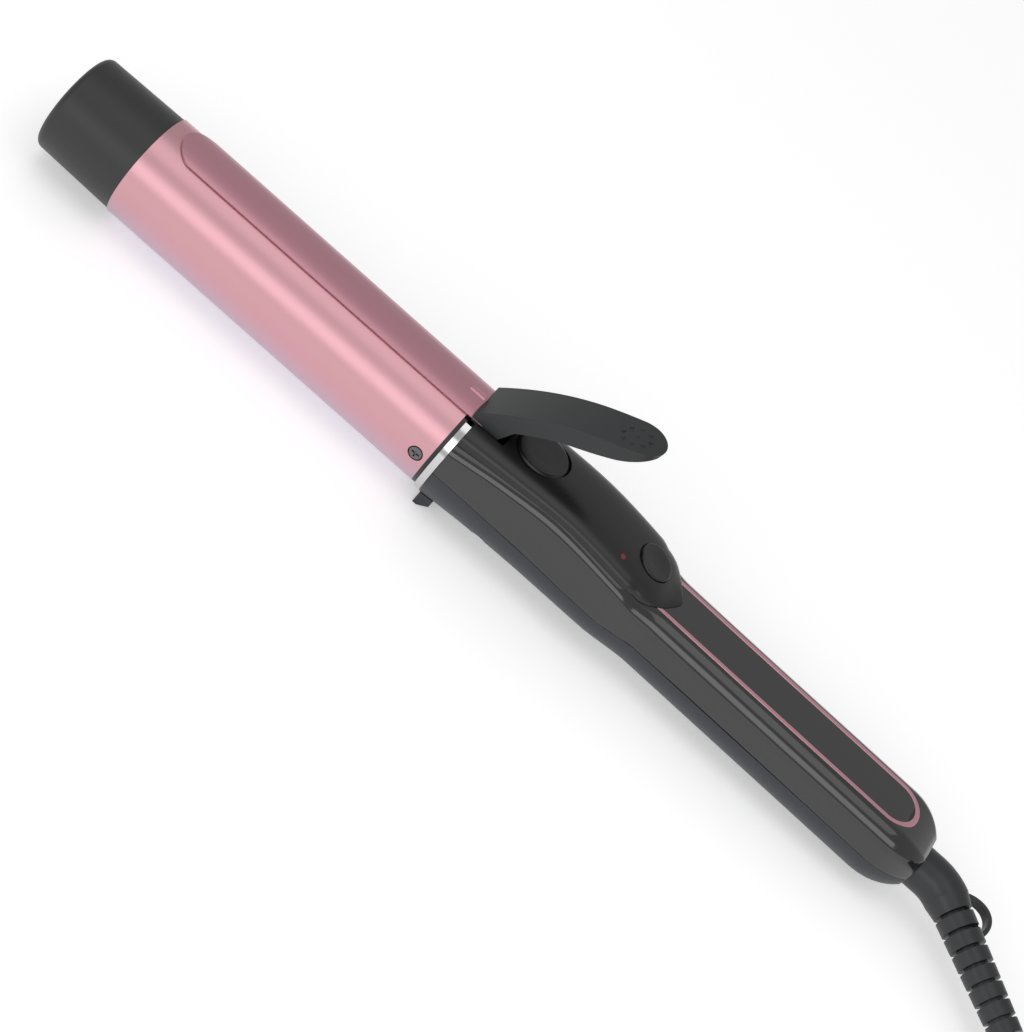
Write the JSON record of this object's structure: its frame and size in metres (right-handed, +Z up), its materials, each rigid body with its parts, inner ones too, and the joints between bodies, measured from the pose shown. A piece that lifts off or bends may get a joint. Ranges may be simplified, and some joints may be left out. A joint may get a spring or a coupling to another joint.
{
  "type": "curling iron",
  "caption": "Curling iron with a rose anodised barrel, spring clamp and thumb lever, flip-down stand, temperature dial, power button and swivel cord.",
  "frame": {"origin": "on the table, under the middle of the iron's length from the cool tip to the handle's end, on its plane of symmetry", "axes": "+X runs along the barrel towards the cord, +Z is up on the thumb lever's side, +Y follows by the right-hand rule"},
  "size_m": [0.5486, 0.084, 0.0722],
  "materials": {
    "rose_anodised": "satin rose anodised",
    "rose_lacquer": "satin rose lacquer on spring steel",
    "tip_black": "fine matt moulded",
    "neck_black": "satin heat-proof plastic",
    "bright_steel": "polished",
    "screw_steel": "zinc plated",
    "spring_steel": "drawn wire",
    "heater_ceramic": "fired",
    "bare_aluminium": "extruded",
    "wire_sleeve": "silicone sleeve",
    "fuse_metal": "plain",
    "piano_black": "high gloss moulded",
    "satin_black": "satin moulded",
    "panel_black": "matt spark-eroded texture",
    "lever_black": "satin moulded",
    "dial_black": "satin moulded",
    "inlay_black": "soft matt",
    "rose_gold": "bright rose gold plating",
    "board_green": "solder resist",
    "component_black": "moulded",
    "light_pipe": "clear frosted",
    "contact_brass": "plain",
    "cord_rubber": "satin",
    "tie_black": "matt",
    "plug_black": "satin moulded",
    "pin_nickel": "nickel plated"
  },
  "bodies": {
    "iron": {"barrel_tube": "rose_anodised", "cool_tip": "tip_black", "barrel_socket": "neck_black", "neck_ring": "bright_steel", "barrel_screws": "screw_steel", "heater_plate": "heater_ceramic", "heat_spreader_top": "bare_aluminium", "heat_spreader_bottom": "bare_aluminium", "heater_leads": "wire_sleeve", "thermal_fuse": "fuse_metal", "temperature_sensor": "wire_sleeve", "clamp_pin": "screw_steel", "clamp_spring": "spring_steel", "upper_housing": "piano_black", "lower_housing": "satin_black", "control_panel": "panel_black", "handle_inlay": "inlay_black", "inlay_trim": "rose_gold", "housing_screws": "screw_steel", "circuit_board": "board_green", "board_components": "component_black", "temperature_control": "component_black", "power_switch": "component_black", "indicator_light": "light_pipe", "terminal_block": "component_black", "contact_blades": "contact_brass", "supply_wires": "wire_sleeve", "stand_pin": "screw_steel"},
    "clamp": {"clamp_plate": "rose_lacquer", "clamp_lever": "lever_black", "lever_rivets": "screw_steel"},
    "stand": {"stand": "satin_black"},
    "dial": {"temperature_dial": "dial_black"},
    "button": {"power_button": "dial_black"},
    "cord": {"swivel_hub": "neck_black", "slip_rings": "contact_brass", "strain_relief": "cord_rubber", "mains_cord": "cord_rubber", "cord_coil": "cord_rubber", "cord_tie": "tie_black", "cord_tail": "cord_rubber", "plug_body": "plug_black", "plug_pins": "pin_nickel"}
  },
  "joints": [
    {"name": "clamp_hinge", "type": "hinge", "parent": "iron", "child": "clamp", "pos_m": [-0.0124, 0, 0.0353], "axis": [0, 1, 0], "range_deg": [0, 16], "stiffness_Nm_per_rad": 0.6},
    {"name": "stand_hinge", "type": "hinge", "parent": "iron", "child": "stand", "pos_m": [-0.0018, 0, 0.0077], "axis": [0, -1, 0], "range_deg": [0, 70]},
    {"name": "dial_turn", "type": "hinge", "parent": "iron", "child": "dial", "pos_m": [0.0058, 0, 0.0407], "axis": [0, 0, 1], "range_deg": [0, 270]},
    {"name": "button_press", "type": "slide", "parent": "iron", "child": "button", "axis": [-0.2756, 0, -0.9613], "range_m": [0, 0.0006], "stiffness_N_per_m": 800},
    {"name": "cord_swivel", "type": "hinge", "parent": "iron", "child": "cord", "pos_m": [0.181, 0, 0.0161], "axis": [1, 0, 0], "continuous": true}
  ]
}
